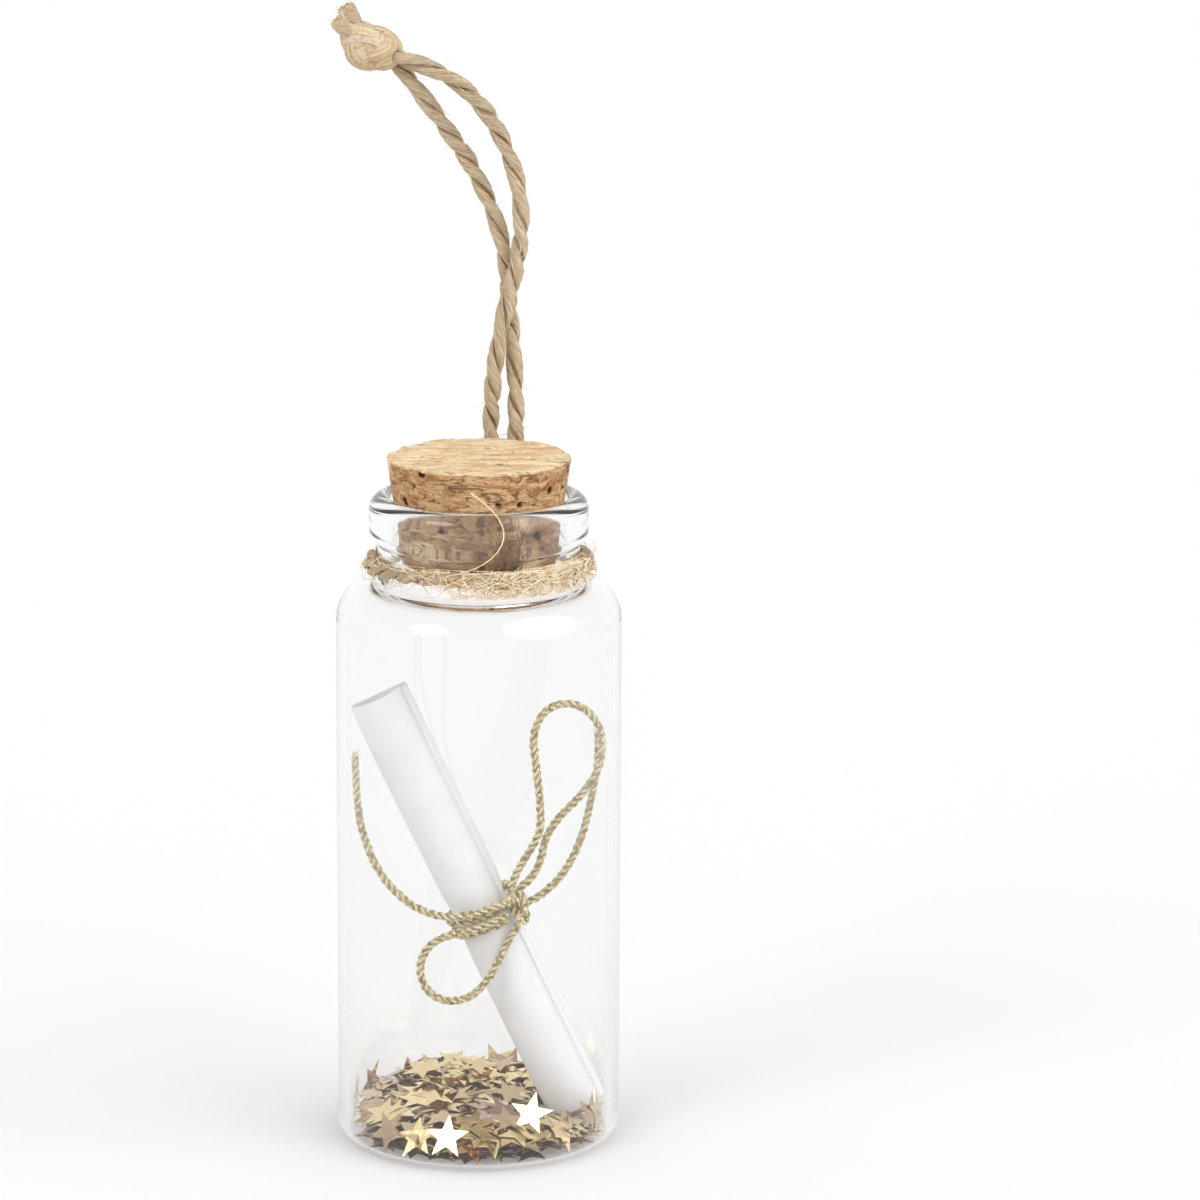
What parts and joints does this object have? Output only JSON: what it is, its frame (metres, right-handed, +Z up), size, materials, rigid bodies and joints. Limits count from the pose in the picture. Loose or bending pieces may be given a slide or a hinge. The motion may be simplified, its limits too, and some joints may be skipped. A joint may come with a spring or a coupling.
{
  "type": "message in a bottle",
  "caption": "Small corked glass bottle holding a rolled paper message tied with a gold cord bow and foil stars, with a twine hanging loop.",
  "frame": {"origin": "centre of the bottle's base, on the plane that it stands on", "axes": "+Z up the bottle's axis to the cork; -Y is the front, which the picture shows with the bow in front of the message; the hanging loop is at the back, +Y"},
  "size_m": [0.0303, 0.03, 0.1205],
  "materials": {
    "clear_glass": "clear blown soda glass, smooth",
    "cork": "natural cork, matt, with dark pores",
    "jute_twine": "two-ply jute twine, hairy, matt",
    "paper": "plain white paper, matt",
    "gold_cord": "twisted metallic gold cord, shiny",
    "gold_foil": "metallised film stars, pale gold, mirror-like"
  },
  "bodies": {
    "bottle": {"glass_bottle": "clear_glass", "neck_twine": "jute_twine"},
    "cork": {"cork_stopper": "cork"},
    "hang_loop": {"back_knot": "jute_twine", "loop_strand_left": "jute_twine", "loop_strand_right": "jute_twine", "top_knot": "jute_twine", "twine_cut_ends": "jute_twine"},
    "contents": {"message_scroll": "paper", "gold_cord_turns": "gold_cord", "bow_knot": "gold_cord", "bow_upper_loop": "gold_cord", "bow_lower_loop": "gold_cord", "bow_left_tail": "gold_cord", "bow_right_tail": "gold_cord", "star_confetti_layer_1": "gold_foil", "star_confetti_layer_2": "gold_foil", "star_confetti_layer_3": "gold_foil", "star_confetti_layer_4": "gold_foil", "star_confetti_layer_5": "gold_foil", "star_confetti_layer_6": "gold_foil", "star_confetti_wall": "gold_foil"}
  },
  "joints": [
    {"name": "cork_pull", "type": "slide", "parent": "bottle", "child": "cork", "axis": [0, 0, 1], "range_m": [0, 0.025]},
    {"name": "loop_fold", "type": "hinge", "parent": "bottle", "child": "hang_loop", "pos_m": [0.00235, 0.0128, 0.0627], "axis": [-1, 0, 0], "range_deg": [0, 140]},
    {"name": "contents_turn", "type": "hinge", "parent": "bottle", "child": "contents", "pos_m": [0, 0, 0], "axis": [0, 0, 1], "continuous": true}
  ]
}
